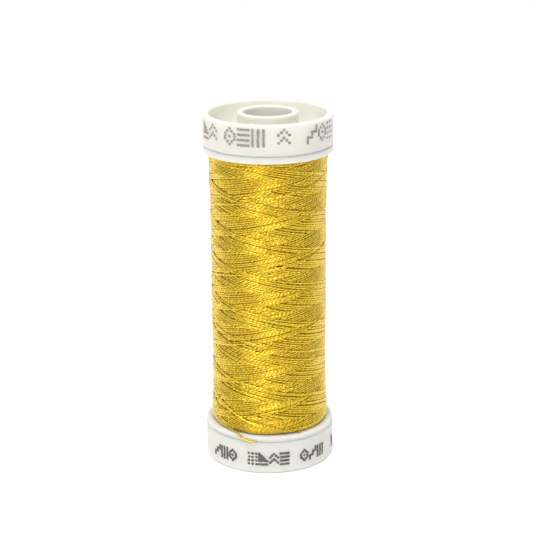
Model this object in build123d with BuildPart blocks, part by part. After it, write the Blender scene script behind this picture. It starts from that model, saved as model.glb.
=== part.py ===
from build123d import *

import os
from math import cos, radians, sin

# Small snap spool of embroidery thread: a barrel, two snap caps and 50 m of wound thread.
# Millimetres. The origin is at the centre of the spool's foot, +Z runs up the spool's axis, and the loose
# end of the thread comes off the winding at the front, towards -Y.

# Heights along the spool, from the table up.
lower_cap_top = 5.15       # face of the lower cap that meets the barrel
upper_cap_bottom = 50.30   # face of the upper cap that meets the barrel
rim_top = 55.0
winding_bottom = 5.95      # inner face of the lower disc
winding_top = 49.15        # inner face of the upper disc

# Caps: an outer rim, a web, and a hub tube that goes on as a plug into the barrel.
cap_radius = 10.0
rim_wall = 1.05
inner_rim = cap_radius - rim_wall
rim_draft = 0.10           # the rim is this much thicker at its foot
web_thickness = 1.10
hub_radius = 4.70
hole_radius = 3.70         # spool-pin hole
hub_step = 0.15            # the hub stands this far past the upper rim, and this far short of the lower rim
plug_length = 10.0
plug_lead_in = 0.30
rim_rounding = 0.15
foot_rounding = 0.50
foot_inner_rounding = 0.15
hub_rounding = 0.28
web_rounding = 0.35

# Snap: a bead on each plug runs in a longer recess in the barrel's bore.
cap_travel = 1.50
bead_start = 7.0           # from the meeting face, down the plug
bead_length = 0.9
bead_height = 0.25
bead_slope = 0.25
snap_clearance = 0.05      # radial, between the plug and the bore, and between the bead and its recess
end_clearance = 0.05       # along the axis, at each end of the bead's run
face_gap = 0.02            # between a closed cap and the barrel

# Barrel: one tube with a thin disc at each end.
disc_radius = 9.95
tube_radius = 5.65
tube_rounding = 0.30       # where the tube meets each disc
lock_slot_depth = 1.75     # the thread's end is pinched in this slot, under the edge of each disc
lock_slot_gap = 0.18
lip_gap = 0.03             # each slot's mouth is closed to this by a springy lip round the disc's edge
lip_width = 0.45
lip_slope = 0.15
disc_rounding = 0.20
slot_lip = 0.06            # rounding of the lower slot's two lips
open_slot_lip = 0.28       # rounding of the upper slot's two lips, which stand open as a groove

# Thread.
thread_diameter = 0.35
winding_gap = 0.02         # between the winding and the barrel that it is wound on

# Half outline of the winding: radius and height above its lower face.
winding_length = winding_top - winding_bottom - 2 * winding_gap
winding_outline = [
    (8.80, 0.0),
    (9.12, 1.1),
    (9.12, 2.6),
    (8.97, 5.0),
    (8.90, 11.0),
    (8.98, 20.0),
    (8.92, 30.0),
    (9.02, 38.0),
    (9.15, winding_length - 1.6),
    (8.88, winding_length),
]

# The loose end: from under the winding, over the lower disc's edge and into the lock slot.
lock_slot_height = lower_cap_top + face_gap + lock_slot_gap / 2
tail_points = [
    (-6.28, -6.32, 6.27),
    (-5.75, -7.10, 6.17),
    (-5.15, -7.92, 6.13),
    (-4.62, -9.02, 6.12),
    (-4.17, -9.24, 5.66),
    (-3.58, -9.54, 5.33),
    (-2.94, -9.75, 5.29),
]
tail_mouth_angle = -14.0   # where it passes between the slot's lips, from the front, degrees
tail_nip_angle = -8.0      # where it is nipped flat, inside the slot
mouth_width = 0.40         # the thread flattens as it goes in between the lips
mouth_height = 0.20
nipped_width = 0.62
nipped_height = 0.11
tail_bend = 0.45           # share of the shorter run that each corner's arc may take up

# The start of the thread: a short stub on the lower disc, at the winding's foot.
start_angle = 29.5
start_inner_radius = 8.55
start_outer_radius = 9.42
start_bundle = 0.42        # across the stub's frayed end

# Gate mark: the small nub that the mould leaves on the upper rim.
gate_angle = -15.0
gate_radius = 0.30

os.makedirs("parts", exist_ok=True)


def on_circle(radius, angle, height):
    """Point at an angle from the front, positive towards +X."""
    return (radius * sin(radians(angle)), -radius * cos(radians(angle)), height)


def corner(sketch, radius, height):
    """The sketch's corner nearest to a radius and height."""
    return sketch.vertices().sort_by_distance((radius, height))[0]


def save(part, name):
    """Label one finished piece and write its STEP file."""
    part.label = name
    export_step(part, f"parts/{name}.step")
    print(f"{name}: {part.volume:.1f} mm3")


def meeting_plane(height, outward):
    """Section plane at a cap's meeting face: x is the radius, and y runs outward, away from the barrel."""
    return Plane(origin=(0, 0, height), x_dir=(1, 0, 0), z_dir=(0, -outward, 0))


def cap_outline(rim_height, hub_height):
    """Half section of a cap, from the foot of the web, with the plug at negative heights."""
    bead_radius = hub_radius + bead_height
    return [
        (hole_radius, -plug_length),
        (hub_radius - plug_lead_in, -plug_length),
        (hub_radius, -plug_length + plug_lead_in),
        (hub_radius, -bead_start - bead_length),
        (bead_radius, -bead_start - bead_length + bead_slope),
        (bead_radius, -bead_start - bead_slope),
        (hub_radius, -bead_start),
        (hub_radius, 0),
        (cap_radius, 0),
        (cap_radius, rim_height),
        (inner_rim, rim_height),
        (inner_rim - rim_draft, web_thickness),
        (hub_radius, web_thickness),
        (hub_radius, hub_height),
        (hole_radius, hub_height),
    ]


# Upper cap, which has the gate mark.
upper_rim_height = rim_top - upper_cap_bottom
with BuildPart() as upper_cap:
    with BuildSketch(meeting_plane(upper_cap_bottom, 1)) as section:
        with BuildLine():
            Polyline(*cap_outline(upper_rim_height, upper_rim_height + hub_step), close=True)
        make_face()
        fillet(corner(section, cap_radius, upper_rim_height), rim_rounding)
        fillet(corner(section, inner_rim, upper_rim_height), rim_rounding)
        fillet(corner(section, cap_radius, 0), open_slot_lip)
        fillet(corner(section, inner_rim, web_thickness), web_rounding)
        fillet(corner(section, hub_radius, web_thickness), web_rounding)
        fillet(corner(section, hub_radius, upper_rim_height + hub_step), hub_rounding)
        fillet(corner(section, hole_radius, upper_rim_height + hub_step), hub_rounding)
    revolve(axis=Axis.Z)
    gate_top = rim_top + hub_step
    with BuildSketch(Plane.XY.offset(gate_top)):
        gate_place = on_circle(cap_radius - rim_wall / 2, gate_angle, 0)
        with Locations(gate_place[:2]):
            Circle(gate_radius)
    extrude(amount=-2 * hub_step, taper=-12)
save(upper_cap.part, "upper_cap")

# Lower cap, which the spool stands on.
with BuildPart() as lower_cap:
    with BuildSketch(meeting_plane(lower_cap_top, -1)) as section:
        with BuildLine():
            Polyline(*cap_outline(lower_cap_top, lower_cap_top - hub_step), close=True)
        make_face()
        fillet(corner(section, cap_radius, lower_cap_top), foot_rounding)
        fillet(corner(section, inner_rim, lower_cap_top), foot_inner_rounding)
        fillet(corner(section, cap_radius, 0), slot_lip)
        fillet(corner(section, inner_rim, web_thickness), web_rounding)
        fillet(corner(section, hub_radius, web_thickness), web_rounding)
        fillet(corner(section, hub_radius, lower_cap_top - hub_step), hub_rounding)
        fillet(corner(section, hole_radius, lower_cap_top - hub_step), hub_rounding)
    revolve(axis=Axis.Z)
save(lower_cap.part, "lower_cap")

# Barrel: tube, two discs, a lock slot outside each disc and a recess for each cap's bead.
bore_radius = hub_radius + snap_clearance
recess_radius = hub_radius + bead_height + snap_clearance
slot_floor_radius = disc_radius - lock_slot_depth
lip_radius = disc_radius - lip_width
lower_face = lower_cap_top + face_gap
upper_face = upper_cap_bottom - face_gap
lower_recess = lower_cap_top + bead_start - cap_travel - end_clearance
lower_recess_end = lower_cap_top + bead_start + bead_length + end_clearance
upper_recess = upper_cap_bottom - bead_start + cap_travel + end_clearance
upper_recess_end = upper_cap_bottom - bead_start - bead_length - end_clearance
with BuildPart() as barrel:
    with BuildSketch(Plane.XZ) as section:
        with BuildLine():
            Polyline(
                (bore_radius, lower_face),
                (slot_floor_radius, lower_face),
                (slot_floor_radius, lower_face + lock_slot_gap),
                (lip_radius - lip_slope, lower_face + lock_slot_gap),
                (lip_radius, lower_cap_top + lip_gap),
                (disc_radius, lower_cap_top + lip_gap),
                (disc_radius, winding_bottom),
                (tube_radius, winding_bottom),
                (tube_radius, winding_top),
                (disc_radius, winding_top),
                (disc_radius, upper_cap_bottom - lip_gap),
                (lip_radius, upper_cap_bottom - lip_gap),
                (lip_radius - lip_slope, upper_face - lock_slot_gap),
                (slot_floor_radius, upper_face - lock_slot_gap),
                (slot_floor_radius, upper_face),
                (bore_radius, upper_face),
                (bore_radius, upper_recess),
                (recess_radius, upper_recess - bead_slope),
                (recess_radius, upper_recess_end + bead_slope),
                (bore_radius, upper_recess_end),
                (bore_radius, lower_recess_end),
                (recess_radius, lower_recess_end - bead_slope),
                (recess_radius, lower_recess + bead_slope),
                (bore_radius, lower_recess),
                close=True,
            )
        make_face()
        fillet(corner(section, disc_radius, winding_bottom), disc_rounding)
        fillet(corner(section, disc_radius, winding_top), disc_rounding)
        fillet(corner(section, disc_radius, lower_cap_top + lip_gap), slot_lip)
        fillet(corner(section, disc_radius, upper_cap_bottom - lip_gap), open_slot_lip)
        fillet(corner(section, tube_radius, winding_bottom), tube_rounding)
        fillet(corner(section, tube_radius, winding_top), tube_rounding)
    revolve(axis=Axis.Z)
save(barrel.part, "barrel")

# Winding: the outer shape of the whole thread on the barrel, hollow where the tube runs.
winding_foot = winding_bottom + winding_gap
winding_inner = tube_radius + winding_gap
with BuildPart() as thread_winding:
    with BuildSketch(Plane.XZ) as section:
        with BuildLine():
            outside = [(radius, winding_foot + height) for radius, height in winding_outline]
            Spline(*outside)
            Polyline(
                outside[-1],
                (winding_inner, outside[-1][1]),
                (winding_inner, outside[0][1]),
                outside[0],
            )
        make_face()
        chamfer(corner(section, winding_inner, outside[-1][1]), web_rounding)
        chamfer(corner(section, winding_inner, outside[0][1]), web_rounding)
    revolve(axis=Axis.Z)
save(thread_winding.part, "thread_winding")

# Loose end: straight runs joined by arcs as large as the runs allow, then a flat end nipped in the slot.
runs = [Vector(*end) - Vector(*begin) for begin, end in zip(tail_points, tail_points[1:])]
radii = []
for before, after in zip(runs, runs[1:]):
    half_turn = radians(before.get_angle(after)) / 2
    radii.append(tail_bend * min(before.length, after.length) * cos(half_turn) / sin(half_turn))
print("loose end's bends, mm:", [round(radius, 2) for radius in radii])
mouth = Vector(*on_circle(disc_radius + 0.08, tail_mouth_angle, lock_slot_height + 0.02))
nip = Vector(*on_circle(disc_radius - 1.1, tail_nip_angle, lock_slot_height))
with BuildPart() as thread_tail:
    with BuildLine() as route:
        FilletPolyline(*tail_points, radius=radii)
    with BuildSketch(Plane(origin=route.line @ 0, z_dir=route.line % 0)):
        Circle(thread_diameter / 2)
    sweep()
    with BuildSketch(Plane(origin=route.line @ 1, z_dir=runs[-1])):
        Circle(thread_diameter / 2)
    for place, way, width, height in (
        (mouth, mouth - Vector(*tail_points[-1]), mouth_width, mouth_height),
        (nip, nip - mouth, nipped_width, nipped_height),
    ):
        level_way = Vector(way.X, way.Y, 0)
        with BuildSketch(Plane(origin=place, x_dir=level_way.cross(Vector(0, 0, 1)), z_dir=level_way)):
            Ellipse(width / 2, height / 2)
    loft()
save(thread_tail.part, "thread_tail")
route_length = route.wires()[0].length
print(f"loose end: {route_length:.2f} mm of route")

# Start of the thread: a stub with a frayed, slightly wider end, lying on the lower disc.
stub_height = winding_bottom + start_bundle / 2
stub_start = on_circle(start_inner_radius, start_angle, stub_height)
stub_end = on_circle(start_outer_radius, start_angle, stub_height)
stub_way = Vector(*stub_end) - Vector(*stub_start)
with BuildPart() as thread_start:
    with BuildSketch(Plane(origin=stub_start, z_dir=stub_way)):
        Circle(thread_diameter / 2)
    with BuildSketch(Plane(origin=stub_end, z_dir=stub_way)):
        Circle(start_bundle / 2)
    loft()
save(thread_start.part, "thread_start")
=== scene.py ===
import math

import bpy
import numpy as np
from mathutils import Matrix, Vector


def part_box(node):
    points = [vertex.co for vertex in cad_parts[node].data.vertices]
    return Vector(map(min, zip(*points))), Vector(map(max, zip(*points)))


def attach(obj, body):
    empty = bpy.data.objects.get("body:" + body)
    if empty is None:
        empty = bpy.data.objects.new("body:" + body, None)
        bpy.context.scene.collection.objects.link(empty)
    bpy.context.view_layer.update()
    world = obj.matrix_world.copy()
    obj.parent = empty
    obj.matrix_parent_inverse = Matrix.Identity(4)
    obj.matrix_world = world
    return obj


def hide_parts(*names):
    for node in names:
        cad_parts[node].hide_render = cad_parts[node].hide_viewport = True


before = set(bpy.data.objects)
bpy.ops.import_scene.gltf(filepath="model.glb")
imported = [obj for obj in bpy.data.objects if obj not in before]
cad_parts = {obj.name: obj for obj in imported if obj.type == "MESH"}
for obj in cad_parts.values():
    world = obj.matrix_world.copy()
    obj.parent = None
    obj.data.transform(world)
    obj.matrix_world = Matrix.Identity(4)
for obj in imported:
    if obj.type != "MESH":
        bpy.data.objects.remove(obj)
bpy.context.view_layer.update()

mm = 0.001
fullTurn = 2 * math.pi
windingFoot, windingTop = (corner[2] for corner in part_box("thread_winding"))
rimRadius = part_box("upper_cap")[1][0]
bpy.context.scene.view_settings.view_transform = "Standard"


def place(radius, degrees, height):  # a point at an angle from the front, positive to the right
    angle = math.radians(degrees)
    return radius * math.sin(angle), -radius * math.cos(angle), height


# Camera: a long lens a little above the spool, looking down at it.
cameraSpec = {
    "lens": 115.2,      # mm
    "sensor": 36.0,
    "distance": 0.253,
    "height": 0.1086,
    "aside": -0.00033,
    "tilt": 17.15,      # degrees down
    "roll": -0.39,
}


def addCamera(spec):
    data = bpy.data.cameras.new("camera")
    data.lens = spec["lens"]
    data.sensor_width = spec["sensor"]
    data.clip_start = 0.01
    data.clip_end = 20.0
    camera = bpy.data.objects.new("camera", data)
    bpy.context.collection.objects.link(camera)
    turn = Matrix.Rotation(math.radians(90 - spec["tilt"]), 4, "X")
    roll = Matrix.Rotation(math.radians(spec["roll"]), 4, "Z")
    spot = Matrix.Translation((spec["aside"], -spec["distance"], spec["height"]))
    camera.matrix_world = spot @ turn @ roll
    bpy.context.scene.camera = camera


addCamera(cameraSpec)
print("camera set")

# Thread: one length of 50 m, wound criss-cross on the barrel from one disc to the other and back.
startDegrees = 51.0     # where the thread's start goes in under the winding
threadSpec = {
    "length": 50.0,
    "diameter": 0.35 * mm,
    "halfWide": 0.175 * mm,         # a strand is pressed a little flat: half its size along the spool
    "halfHigh": 0.145 * mm,         # and half its size outward
    "spread": 1.08,                 # the wound strand is drawn this much wider, over its neighbours
    "stackHigh": 0.137 * mm,        # what half a strand adds to the winding under tension
    "firm": 0.62,                   # 1 lets no strand sink between those below it
    "longestSpan": 2.2,             # radians, the most that a taut stretch of thread bridges
    "tubeRadius": 5.67 * mm,        # what the thread is wound on
    "gap": 0.02 * mm,               # between the thread and a disc
    "turnsThereAndBack": 7.5148,    # a little over seven and a half, so that strands lie side by side
    "stepsPerTurn": 160,
    "cell": 0.04 * mm,              # step along the spool of the pile's height field
    "dwell": 0.7 * mm,              # the feed runs this far past each disc, and the thread waits there
    "fold": 0.8 * mm,               # how far from a disc the thread may turn back
    "foldDraw": (1.1, 2.0),         # it mostly turns back nearer than that: shape of the random draw
    "bend": 0.10 * mm,              # softness of the turning back
    "wander": 0.03 * mm,            # unevenness of the feed
    "wanderWaves": 6,
    "seed": 11,
    "closingLength": 0.27,          # m kept for the closing turns
    "closingTop": 0.6 * mm,         # how far under the upper disc they begin
    "steepStart": (11.6 * mm, math.radians(391)),   # height and angle before the loose end where the last
    "steepEnd": (6.62 * mm, math.radians(319)),     # strand starts and stops crossing the others steeply
    "flatEnd": (0.03 * mm, 0.6),    # its last rise over the loose end's start, and the angle that it takes
    "closingSoft": 20,              # steps to either side that round off the closing turns' corners
    "radiusSoft": 3,                # and the same for every step's radius
    "even": (0.7 * mm, 0.7 * mm),   # lumps longer than this, round and along the spool, are pressed out
    "outerRadius": 9 * mm,          # the winding's, roughly, for the lumps round it
    "relief": 0.28,                 # share of the surface's unevenness that the pressing leaves
    "reliefDepth": 0.65 * mm,       # how deep it still acts
    "surfaceDepth": 1.3,            # the surface's strands lie this many stackHigh under the outline
    "meet": 30,                     # steps over which the winding runs into the loose end and the start
    "tipShares": (0.0, 0.12, 0.28, 0.40, 0.85, 1.2),    # of the loose end's length, counted from its tip
    "tipWide": (0.055 * mm, 0.07 * mm, 0.13 * mm),      # half sizes at the first three: nipped flat there
    "tipHigh": (0.31 * mm, 0.28 * mm, 0.20 * mm),
    "frayedTo": (0, 0.25, 0.8, 4.0),                    # mm along the frayed start
    "frayedHalf": (0.20, 0.21, 0.175, 0.0),             # least half size there, in mm
    "outsideTurns": 264,            # turns at the surface, made finely
    "outsidePieces": 4,
    "outsideSides": 8,
    "middleTurns": 130,             # turns just under the surface, made less finely
    "middleStride": 3,
    "middleSides": 6,
    "insideStride": 8,
    "insideSides": 4,
    "fineSteps": 200,               # every mesh piece begins with so many steps made finely
}
# Outer shape of the winding: height above its foot and radius, both in mm.
windingShape = [
    (0.0, 8.86), (0.6, 9.05), (1.8, 9.14), (3.2, 9.08), (5.5, 8.95),
    (11.0, 8.88), (16.0, 8.94), (21.0, 8.98), (26.0, 8.93), (31.0, 8.92),
    (36.0, 9.0), (40.0, 9.08), (41.8, 9.15), (42.7, 9.08), (43.2, 8.86),
]
# Loose end: from the winding, over the lower disc's edge and into the slot under it.
tailPoints = [
    (-6.28, -6.32, 6.27),
    (-5.75, -7.10, 6.17),
    (-5.15, -7.92, 6.13),
    (-4.62, -9.02, 6.12),
    (-4.17, -9.24, 5.66),
    (-3.58, -9.54, 5.33),
    (-2.94, -9.75, 5.29),
]
# It passes between the slot's lips there and is nipped flat behind them.
tailInSlot = [place(10.03, -14.0, 5.28), place(9.6, -10.8, 5.26), place(8.95, -7.5, 5.26)]
# Start of the thread: it lies on the lower disc and goes in under the winding.
startPoints = [
    place(9.42, 29.5, 6.13),
    place(9.0, 29.5, 6.13),
    place(8.3, 29.8, 6.13),
    place(7.2, 31.0, 6.13),
    place(6.3, 36.0, 6.16),
    place(5.9, 43.0, 6.22),
    place(5.79, startDegrees, 6.27),
]


def smooth(values, reach):  # each value averaged with so many on either side of it
    window = np.hanning(2 * reach + 1)
    return np.convolve(np.pad(values, reach, mode="edge"), window / window.sum(), mode="valid")


def tautLine(support, step, longestSpan):  # radii of a taut thread over its supports, all at even angles
    heights = support.tolist()
    keep = [0]
    for k in range(1, len(heights)):
        while len(keep) > 1:
            i, j = keep[-2], keep[-1]
            if (k - i) * step >= longestSpan:
                break
            straight = math.sin((k - j) * step) / heights[i] + math.sin((j - i) * step) / heights[k]
            if math.sin((k - i) * step) / heights[j] <= straight:
                break
            keep.pop()
        keep.append(k)
    taut = np.array(heights)
    for i, j in zip(keep, keep[1:]):
        if j > i + 1:
            m = np.arange(i, j)
            straight = np.sin((j - m) * step) / heights[i] + np.sin((m - i) * step) / heights[j]
            taut[i:j] = math.sin((j - i) * step) / straight
    return taut


def layStroke(pile, spec, index, heights):  # lays thread at these heights, one step of angle each
    steps = spec["stepsPerTurn"]
    radius, offsets, bump = pile["radius"], pile["offsets"], pile["bump"]
    column = (index + np.arange(len(heights))) % steps
    row = np.round((heights - windingFoot) / spec["cell"] - 0.5).astype(int)
    row = np.clip(row, offsets[-1], radius.shape[1] - 1 - offsets[-1])
    spot = (column[:, None], row[:, None] + offsets[None, :])
    below = radius[spot]
    onTop = (below + bump).max(1)
    sunk = below.mean(1) + spec["stackHigh"]
    support = spec["firm"] * onTop + (1 - spec["firm"]) * sunk
    laid = tautLine(support, fullTurn / steps, spec["longestSpan"])
    np.maximum.at(radius, spot, laid[:, None] + bump[None, :])
    return laid


def arcLength(radii, heights, steps):
    return float(np.hypot(radii * fullTurn / steps, np.abs(np.gradient(heights))).sum())


def strokeHeights(spec, count, ends, turns, sway):  # heights from disc to disc, turning back softly
    (low, high), (bottom, top), bend = ends, turns, spec["bend"]
    along = np.arange(count) / count
    height = low - spec["dwell"] + (high - low + 2 * spec["dwell"]) * along
    height += sum(a * np.sin(math.pi * (k + 1) * along) / math.sqrt(k + 1) for k, a in enumerate(sway))
    height = bottom + bend * np.logaddexp(0, (height - bottom) / bend)
    return top - bend * np.logaddexp(0, (top - height) / bend)


def closingStrokes(spec, index, ends, bottom, tailStart):
    # A last way up, then down to the foot, where the thread crosses the others steeply and goes once round.
    steps, (low, high) = spec["stepsPerTurn"], ends
    steepStart, steepEnd, (rise, flatAngle) = spec["steepStart"], spec["steepEnd"], spec["flatEnd"]
    count = round(spec["turnsThereAndBack"] * steps / 2)
    along = np.arange(count) / count
    top = high - spec["closingTop"]
    up = bottom + (top - bottom) * along
    slope = (high - low) / (count * fullTurn / steps)
    down = (top - steepStart[0]) / slope + steepStart[1]
    start = index + count
    tailTurn = round(math.degrees(math.atan2(tailStart[0], -tailStart[1])) / 360 * steps)
    turns = round((start + down * steps / fullTurn - tailTurn) / steps)
    last = tailTurn + turns * steps
    left = (last - np.arange(start, last)) * fullTurn / steps
    closing = np.interp(
        left,
        [0, flatAngle, steepEnd[1], steepStart[1], left[0]],
        [tailStart[2], tailStart[2] + rise, steepEnd[0], steepStart[0], top],
    )
    return up, smooth(closing, spec["closingSoft"])


def evenSurface(spec, radius, ends):  # the pile's surface without its lumps
    low, high = (round((end - windingFoot) / spec["cell"]) for end in ends)
    surface = radius[:, low:high + 1]
    around = spec["outerRadius"] * fullTurn / spec["stepsPerTurn"]
    for axis, (size, spacing) in enumerate(zip(spec["even"], (around, spec["cell"]))):
        reach = max(1, round(size / spacing))
        window = np.hanning(2 * reach + 3)[1:-1]
        window /= window.sum()
        pads = [(reach, reach) if a == axis else (0, 0) for a in (0, 1)]
        padded = np.pad(surface, pads, mode="wrap" if axis == 0 else "reflect")
        count = surface.shape[axis]
        surface = sum(w * np.take(padded, np.arange(k, k + count), axis) for k, w in enumerate(window))
    return np.pad(surface, [(0, 0), (low, radius.shape[1] - high - 1)], mode="edge")


def pressPile(spec, surface, angles, radii, heights):
    # Tension and the rubbing of the guide press the pile into the even shape that the winding has.
    tubeRadius, cell, rows = spec["tubeRadius"], spec["cell"], surface.shape[1]
    shapeHeight, shapeRadius = np.array(windingShape).T * mm
    wanted = np.interp((np.arange(rows) + 0.5) * cell, shapeHeight, shapeRadius)
    press = (wanted[None, :] - spec["stackHigh"] - tubeRadius) / (surface - tubeRadius)
    rowAt = np.clip((heights - windingFoot) / cell - 0.5, 0, rows - 1.001)
    row = rowAt.astype(int)
    column = angles % spec["stepsPerTurn"]
    share = rowAt - row
    pressHere = press[column, row] * (1 - share) + press[column, row + 1] * share
    print("thread pressed by", np.round(np.percentile(press, [1, 50, 99]), 2))
    radii = tubeRadius + (radii - tubeRadius) * pressHere
    outline = np.interp(heights - windingFoot, shapeHeight, shapeRadius)
    depth = outline - spec["surfaceDepth"] * spec["stackHigh"] - radii
    radii += depth * (1 - spec["relief"]) * np.exp(-((depth / spec["reliefDepth"]) ** 2))
    return smooth(radii, spec["radiusSoft"])


def windThread(spec, tailStart):  # angle steps, radii and heights along the whole thread
    random = np.random.default_rng(spec["seed"])
    steps, half, cell = spec["stepsPerTurn"], spec["halfWide"], spec["cell"]
    offsets = np.arange(-int(half / cell), int(half / cell) + 1)
    rows = round((windingTop - windingFoot) / cell)
    pile = {
        "radius": np.full((steps, rows), spec["tubeRadius"]),
        "offsets": offsets,
        "bump": spec["stackHigh"] * np.sqrt(1 - (offsets * cell / half) ** 2),
    }
    low, high = ends = windingFoot + half + spec["gap"], windingTop - half - spec["gap"]
    index, carry, length = round(startDegrees / 360 * steps), 0.0, 0.0
    bottom = low
    angles, radii, heights = [], [], []

    def lay(height):  # returns the length that it takes
        angles.append(index + np.arange(len(height)))
        radii.append(layStroke(pile, spec, index, height))
        heights.append(height)
        return arcLength(radii[-1], height, steps)

    while length < spec["length"] - spec["closingLength"]:
        top = high - random.beta(*spec["foldDraw"]) * spec["fold"]
        nextBottom = low + random.beta(*spec["foldDraw"]) * spec["fold"]
        for up, turnBack in ((True, bottom), (False, nextBottom)):
            exact = spec["turnsThereAndBack"] * steps / 2 + carry
            count = round(exact)
            carry = exact - count
            sway = random.normal(0, spec["wander"], spec["wanderWaves"])
            height = strokeHeights(spec, count, ends, (turnBack, top), sway)
            length += lay(height if up else height[::-1])
            index += count
        bottom = nextBottom
    for height in closingStrokes(spec, index, ends, bottom, tailStart):
        lay(height)
        index += len(height)
    print("thread turns:", index / steps)
    angles, radii, heights = np.concatenate(angles), np.concatenate(radii), np.concatenate(heights)
    surface = evenSurface(spec, pile["radius"], ends)
    return angles, pressPile(spec, surface, angles, radii, heights), heights


def splinePoints(points, name):  # points along a smooth line through the route
    data = bpy.data.curves.new(name, "CURVE")
    data.dimensions = "3D"
    spline = data.splines.new("NURBS")
    spline.points.add(len(points) - 1)
    for point, (x, y, z) in zip(spline.points, points):
        point.co = (x * mm, y * mm, z * mm, 1)
    spline.order_u = 3
    spline.use_endpoint_u = True
    spline.resolution_u = 10
    holder = bpy.data.objects.new(name, data)
    mesh = bpy.data.meshes.new_from_object(holder)
    line = np.array([v.co for v in mesh.vertices])
    bpy.data.meshes.remove(mesh)
    bpy.data.objects.remove(holder)
    bpy.data.curves.remove(data)
    return line


def addMesh(name, mesh):
    piece = bpy.data.objects.new(name, mesh)
    bpy.context.collection.objects.link(piece)
    return piece


def strandTube(name, path, wide, high, sides, along):  # wide and high are half sizes at each point
    count = len(path)
    way = np.gradient(path, axis=0)
    way /= np.linalg.norm(way, axis=1)[:, None]
    outward = path * (1, 1, 0)
    outward /= np.linalg.norm(outward, axis=1)[:, None]
    outward -= way * (outward * way).sum(1)[:, None]
    outward /= np.linalg.norm(outward, axis=1)[:, None]
    aside = np.cross(way, outward)
    turn = np.arange(sides) * fullTurn / sides
    ring = (
        path[:, None]
        + (outward * high[:, None])[:, None] * np.cos(turn)[None, :, None]
        + (aside * wide[:, None])[:, None] * np.sin(turn)[None, :, None]
    )
    i, j = np.meshgrid(np.arange(count - 1), np.arange(sides), indexing="ij")
    walk = ((0, 0), (0, 1), (1, 1), (1, 0))  # a face's corners: steps along and round the strand
    corners = np.stack([(i + a) * sides + (j + b) % sides for a, b in walk], -1).reshape(-1, 4)
    faceUv = np.stack([np.stack([along[i + a], (j + b) / sides], -1) for a, b in walk], 2).reshape(-1, 2)
    ends = [np.arange(sides)[::-1], (count - 1) * sides + np.arange(sides)]
    loops = np.concatenate([corners.ravel(), *ends])
    endUv = [np.tile([along[k], 0.5], (sides, 1)) for k in (0, -1)]
    uv = np.concatenate([faceUv, *endUv])
    starts = np.concatenate([np.arange(len(corners)) * 4, len(corners) * 4 + np.array([0, sides])])
    mesh = bpy.data.meshes.new(name)
    mesh.vertices.add(count * sides)
    mesh.vertices.foreach_set("co", ring.ravel())
    mesh.loops.add(len(loops))
    mesh.loops.foreach_set("vertex_index", loops.astype(np.int32))
    mesh.polygons.add(len(starts))
    mesh.polygons.foreach_set("loop_start", starts.astype(np.int32))
    mesh.polygons.foreach_set("use_smooth", np.ones(len(starts), bool))
    mesh.update(calc_edges=True)
    mesh.uv_layers.new(name="strand").data.foreach_set("uv", uv.ravel())
    mesh.validate()
    return addMesh(name, mesh)


def strandSizes(spec, along, tailLong):  # half sizes along the whole thread, distances in mm
    half = spec["diameter"] / 2
    share = (along[-1] - along) / tailLong
    woundWide = spec["halfWide"] * spec["spread"]
    wide = np.interp(share, spec["tipShares"], [*spec["tipWide"], half, half, woundWide])
    high = np.interp(share, spec["tipShares"], [*spec["tipHigh"], half, half, spec["halfHigh"]])
    frayed = np.interp(along, spec["frayedTo"], spec["frayedHalf"]) * mm
    return np.maximum(wide, frayed), np.maximum(high, frayed)


def makeThread(spec):
    tail = splinePoints([*tailPoints, *tailInSlot], "tail")
    start = splinePoints(startPoints, "start")
    angles, radii, heights = windThread(spec, np.array(tailPoints[0]) * mm)
    steps, meet = spec["stepsPerTurn"], spec["meet"]
    turn = angles * fullTurn / steps
    wound = np.stack([radii * np.sin(turn), -radii * np.cos(turn), heights], 1)
    blend = np.linspace(0, 1, meet)[:, None]
    wound[-meet:] += blend * (tail[0] - wound[-1])
    wound[:meet] += blend[::-1] * (start[-1] - wound[0])
    path = np.concatenate([start[:-1], wound, tail[1:]])
    along = np.concatenate([[0], np.cumsum(np.linalg.norm(np.diff(path, axis=0), axis=1))]) / mm
    wide, high = strandSizes(spec, along, np.linalg.norm(np.diff(tail, axis=0), axis=1).sum() / mm)
    print("thread length, m:", round(along[-1] * mm, 2))
    outside = len(start) - 1 + len(wound) - spec["outsideTurns"] * steps
    middle = outside - spec["middleTurns"] * steps
    cuts = np.linspace(outside, len(path) - 1, spec["outsidePieces"] + 1).astype(int)
    parts = [
        ("thread_inside", 0, middle, spec["insideStride"], spec["insideSides"]),
        ("thread_middle", middle, outside, spec["middleStride"], spec["middleSides"]),
    ]
    for k, (a, b) in enumerate(zip(cuts, cuts[1:])):
        parts.append((f"thread_outside_{k + 1}", a, b, 1, spec["outsideSides"]))
    pieces = []
    for name, a, b, stride, sides in parts:
        fine = np.arange(a, min(a + spec["fineSteps"], b))
        pick = np.unique(np.concatenate([fine, np.arange(a, b, stride), [b]]))
        piece = strandTube(name, path[pick], wide[pick], high[pick], sides, along[pick])
        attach(piece, "barrel")
        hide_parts("thread_winding", "thread_tail", "thread_start")
        pieces.append(piece)
    return pieces


threadPieces = makeThread(threadSpec)
print("thread wound")


# Materials.
def setInputs(tree, node, inputs):  # links a socket or sets its value
    for socket, value in inputs.items():
        if isinstance(value, bpy.types.NodeSocket):
            tree.links.new(value, node.inputs[socket])
        else:
            node.inputs[socket].default_value = value


def add(tree, kind, inputs, **settings):
    node = tree.nodes.new(kind)
    for key, value in settings.items():
        setattr(node, key, value)
    setInputs(tree, node, inputs)
    return node


def maths(tree, operation, *values):
    return add(tree, "ShaderNodeMath", dict(enumerate(values)), operation=operation).outputs[0]


def noise(tree, vector, scale, detail):
    inputs = {"Vector": vector, "Scale": scale, "Detail": detail}
    return add(tree, "ShaderNodeTexNoise", inputs).outputs["Fac"]


def objectPoint(tree):
    return add(tree, "ShaderNodeTexCoord", {}).outputs["Object"]


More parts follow.
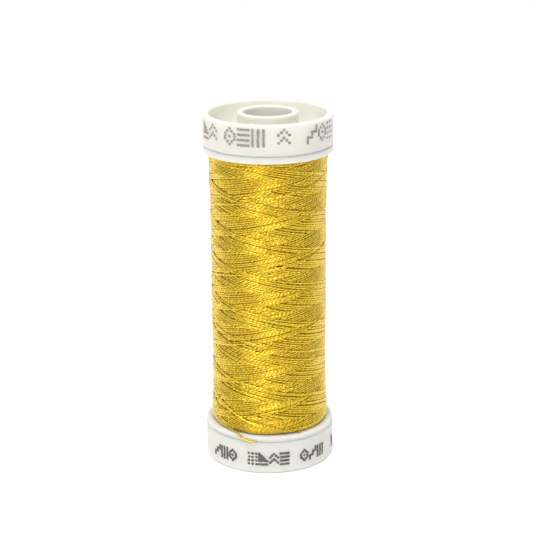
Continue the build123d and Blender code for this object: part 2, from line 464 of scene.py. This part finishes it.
def between(tree, factor, low, high):  # noise spread over a range of values
    limits = {"From Min": 0.3, "From Max": 0.7, "To Min": low, "To Max": high}
    return add(tree, "ShaderNodeMapRange", {"Value": factor, **limits}).outputs[0]


def bumps(tree, height, strength):
    inputs = {"Height": height, "Strength": strength, "Distance": 0.02 * mm}
    return add(tree, "ShaderNodeBump", inputs).outputs[0]


def ramp(tree, factor, stops):
    node = add(tree, "ShaderNodeValToRGB", {"Fac": factor})
    elements = node.color_ramp.elements
    while len(elements) < len(stops):
        elements.new(0.5)
    for element, (position, colour) in zip(elements, stops):
        element.position = position
        element.color = (*colour, 1)
    return node.outputs["Color"]


def newMaterial(name):
    material = bpy.data.materials.new(name)
    material.use_nodes = True
    return material, material.node_tree


def setShader(tree, inputs):
    setInputs(tree, tree.nodes["Principled BSDF"], inputs)


# Gold thread colours: the shadow colour is painted shade in the ply hollows, the lightest colour is a
# painted glint on the ply tops, and the middle one is the thread's own gold.
threadFinish = {
    "shadow": (0.45, 0.19, 0.007),
    "base": (0.78, 0.52, 0.028),
    "painted_glint": (0.98, 0.92, 0.11),
    "stops": (0.38, 0.62, 0.88),            # where those three stand on the ramp: painted shade, the thread's own gold, painted glints
    "shares": (0.32, 0.6, 0.24),            # what plies, fibres and patches add to its factor, which sets where the painted shade and painted glints fall
    "plyPitch": 1.25,                       # mm along the thread for one turn of its plies
    "plies": 2,
    "slip": 0.8,                            # turns by which the plies run ahead or behind
    "fibreStretch": (0.32, 4.0, 1.0),
    "fibreScale": 5.0,
    "fibreRelief": 1.2,
    "patchScale": 2100.0,
    "roughness": (0.21, 0.41),
    "bump": 0.8,
}


def threadMaterial(finish):
    material, tree = newMaterial("gold_silk")
    plyShare, fibreShare, patchShare = finish["shares"]
    uv = add(tree, "ShaderNodeUVMap", {}, uv_map="strand").outputs["UV"]
    split = add(tree, "ShaderNodeSeparateXYZ", {"Vector": uv})
    turns = maths(tree, "MULTIPLY", split.outputs["X"], 1 / finish["plyPitch"])
    turns = maths(tree, "MULTIPLY_ADD", noise(tree, uv, 1.1, 1.0), finish["slip"], turns)
    sweep = maths(tree, "ADD", turns, split.outputs["Y"])
    wave = maths(tree, "SINE", maths(tree, "MULTIPLY", sweep, math.pi * finish["plies"]))
    ply = maths(tree, "ABSOLUTE", wave)
    stretch = add(tree, "ShaderNodeMapping", {"Vector": uv, "Scale": finish["fibreStretch"]})
    fibre = noise(tree, stretch.outputs[0], finish["fibreScale"], 3.0)
    patch = noise(tree, objectPoint(tree), finish["patchScale"], 2.0)
    mixed = maths(tree, "MULTIPLY", ply, plyShare)
    mixed = maths(tree, "MULTIPLY_ADD", fibre, fibreShare, mixed)
    mixed = maths(tree, "MULTIPLY_ADD", patch, patchShare, mixed)
    # The ramp paints shade into the ply hollows and glints onto the ply tops, broken up by fibres and
    # patches.
    colours = [finish[key] for key in ("shadow", "base", "painted_glint")]
    relief = maths(tree, "MULTIPLY_ADD", fibre, finish["fibreRelief"], ply)
    setShader(tree, {
        "Base Color": ramp(tree, mixed, list(zip(finish["stops"], colours))),
        "Roughness": between(tree, fibre, *finish["roughness"]),
        "Normal": bumps(tree, relief, finish["bump"]),
        "Metallic": 0.86,
        "Sheen Weight": 0.15,
        "Sheen Roughness": 0.4,
        "Sheen Tint": (1.0, 0.95, 0.72, 1),
    })
    return material


plasticFinish = {
    "base": (0.845, 0.84, 0.77),
    "shade": (0.82, 0.81, 0.73),
    "cloudScale": 160.0,
    "grainScale": 2600.0,
    "roughness": (0.45, 0.58),
    "bump": 0.12,
    "scatter": 2.0 * mm,
}


def plasticMaterial(finish):
    material, tree = newMaterial("milky_plastic")
    point = objectPoint(tree)
    cloud = noise(tree, point, finish["cloudScale"], 3.0)
    grain = noise(tree, point, finish["grainScale"], 2.0)
    setShader(tree, {
        "Base Color": ramp(tree, cloud, [(0.3, finish["shade"]), (0.7, finish["base"])]),
        "Roughness": between(tree, grain, *finish["roughness"]),
        "Normal": bumps(tree, grain, finish["bump"]),
        "Specular IOR Level": 0.35,
        "Subsurface Weight": 0.7,
        "Subsurface Radius": (1.0, 0.92, 0.75),
        "Subsurface Scale": finish["scatter"],
    })
    return material


def inkMaterial(name, dark, light):
    material, tree = newMaterial(name)
    blot = noise(tree, objectPoint(tree), 1500.0, 3.0)
    setShader(tree, {"Base Color": ramp(tree, blot, [(0.35, dark), (0.7, light)]), "Roughness": 0.65})
    return material


def setMaterial(piece, material):
    piece.data.materials.clear()
    piece.data.materials.append(material)


goldSilk = threadMaterial(threadFinish)
for piece in threadPieces:
    setMaterial(piece, goldSilk)
milkyPlastic = plasticMaterial(plasticFinish)
for name in ("barrel", "upper_cap", "lower_cap"):
    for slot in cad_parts[name].material_slots:
        slot.material = milkyPlastic
print("materials set")

# Printed marks: short dot patterns round each rim, as an ink-jet printer leaves them.
marks = {
    "bars": ("1.1.1", "1.1.1", "1.1.1", "1.1.1", "1.1.1", "1.1.1", "1.1.1"),
    "dashes": ("11111", ".....", "11111", ".....", "11111", ".....", "11111"),
    "lozenge": ("..1..", ".1.1.", "1...1", "1.1.1", "1...1", ".1.1.", "..1.."),
    "peaks": ("..1..", ".1.1.", "1...1", "..1..", ".1.1.", "1...1", "....."),
    "wedge": ("1....", "11...", "111..", "1111.", "11111", ".....", "11111"),
    "grid": ("1.1.1", ".....", "1.1.1", ".....", "1.1.1", ".....", "1.1.1"),
    "steps": ("....1", "....1", "..111", "..1..", "111..", "1....", "1...."),
}
dotSpec = {
    "sides": 10,
    "deep": 0.05 * mm,
    "squash": 0.6,              # of its depth
    "stretch": 1.1,             # along the rim
    "markShare": 0.72,          # of a mark's pitch that its columns take
    "shakeAngle": 0.12,         # degrees
    "shakeHeight": 0.012 * mm,
    "sizes": (0.92, 1.08),
    "seed": 3,
}
# Groups: the degree at which one starts, and its marks.
upperPrint = {
    "name": "upper_print",
    "body": "upper_cap",
    "low": 51.95 * mm,
    "tall": 2.35 * mm,
    "pitch": 13.0,              # degrees from mark to mark
    "dot": 0.215 * mm,
    "groups": [
        (-72, "wedge peaks"), (-39, "lozenge dashes bars"), (9, "peaks"), (36, "steps lozenge grid"),
        (100, "bars wedge"), (137, "dashes peaks grid"), (190, "lozenge"), (217, "steps wedge bars"),
        (262, "grid"),
    ],
}
lowerPrint = {
    "name": "lower_print",
    "body": "lower_cap",
    "low": 1.55 * mm,
    "tall": 1.75 * mm,
    "pitch": 9.6,
    "dot": 0.205 * mm,
    "groups": [
        (-58, "steps bars lozenge"), (-19, "grid wedge peaks dashes"), (29, "lozenge steps bars"),
        (76, "wedge"), (120, "peaks grid"), (160, "dashes bars steps"), (215, "wedge lozenge"),
    ],
}


def printSpots(spec):  # angle and height of every dot
    for start, names in spec["groups"]:
        for k, name in enumerate(names.split()):
            lines = marks[name]
            for row, line in enumerate(lines):
                height = spec["low"] + spec["tall"] * (len(lines) - 1 - row) / (len(lines) - 1)
                for column, mark in enumerate(line):
                    if mark == "1":
                        aside = column * spec["pitch"] * dotSpec["markShare"] / (len(line) - 1)
                        yield start + k * spec["pitch"] + aside, height


def addPrint(spec, material):
    bpy.ops.object.select_all(action="DESELECT")
    bpy.ops.mesh.primitive_cylinder_add(
        vertices=dotSpec["sides"], radius=spec["dot"], depth=dotSpec["deep"], end_fill_type="TRIFAN")
    dot = bpy.context.object
    corners = np.array([v.co for v in dot.data.vertices])
    faces = [tuple(p.vertices) for p in dot.data.polygons]
    bpy.data.objects.remove(dot)
    random = np.random.default_rng(dotSpec["seed"])
    points, polygons = [], []
    for angle, height in printSpots(spec):
        turn = math.radians(angle + random.normal(0, dotSpec["shakeAngle"]))
        lift = height + random.normal(0, dotSpec["shakeHeight"])
        size = random.uniform(*dotSpec["sizes"])
        outward = np.array([math.sin(turn), -math.cos(turn), 0])
        aside = np.array([math.cos(turn), math.sin(turn), 0])
        polygons += [tuple(len(points) + i for i in face) for face in faces]
        for x, y, z in corners:
            sag = (x * size) ** 2 / (2 * rimRadius)  # the rim curves away under the dot
            point = outward * (rimRadius + z * dotSpec["squash"] - sag)
            points.append(point + aside * x * size * dotSpec["stretch"] + (0, 0, lift + y * size))
    mesh = bpy.data.meshes.new(spec["name"])
    mesh.from_pydata([tuple(p) for p in points], [], polygons)
    piece = addMesh(spec["name"], mesh)
    setMaterial(piece, material)
    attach(piece, spec["body"])


addPrint(upperPrint, inkMaterial("faded_ink", (0.30, 0.26, 0.255), (0.44, 0.39, 0.38)))
addPrint(lowerPrint, inkMaterial("dark_ink", (0.10, 0.08, 0.085), (0.20, 0.165, 0.17)))
print("print added")

# Stage: a pale floor and soft light from all round, with a broad key light left of the camera.
stageSpec = {
    "floorSize": 4.0,
    "floor": {
        "Base Color": (0.95, 0.95, 0.95, 1),
        "Emission Color": (1, 1, 1, 1),
        "Emission Strength": 0.14,
        "Roughness": 0.9,
        "Specular IOR Level": 0.1,
    },
    "sky": {"Color": (1, 1, 1, 1), "Strength": 0.12},
    "lights": [  # name, degrees from the front, height, distance, size, power
        ("key", -15, 0.52, 0.52, (0.19, 0.60), 2.05),
        ("top", 0, 1.2, 0.1, (0.7, 0.7), 13.0),
        ("left", -130, 0.25, 0.6, (0.3, 0.5), 0.85),
        ("right", 130, 0.25, 0.6, (0.3, 0.5), 0.65),
    ],
    "aim": (0, 0, 0.028),
}


def addStage(spec):
    bpy.ops.object.select_all(action="DESELECT")
    bpy.ops.mesh.primitive_plane_add(size=spec["floorSize"], location=(0, 0, 0))
    floor = bpy.context.object
    floor.name = "floor"
    material, tree = newMaterial("pale_floor")
    setShader(tree, spec["floor"])
    setMaterial(floor, material)
    world = bpy.data.worlds.new("soft_light")
    world.use_nodes = True
    setInputs(world.node_tree, world.node_tree.nodes["Background"], spec["sky"])
    bpy.context.scene.world = world
    for name, degrees, height, away, size, power in spec["lights"]:
        data = bpy.data.lights.new(name, "AREA")
        data.shape = "RECTANGLE"
        data.size, data.size_y = size
        data.energy = power
        light = bpy.data.objects.new(name, data)
        bpy.context.collection.objects.link(light)
        light.location = place(away, degrees, height)
        look = Vector(spec["aim"]) - Vector(light.location)
        light.rotation_euler = look.to_track_quat("-Z", "Y").to_euler()


addStage(stageSpec)
print("stage set")
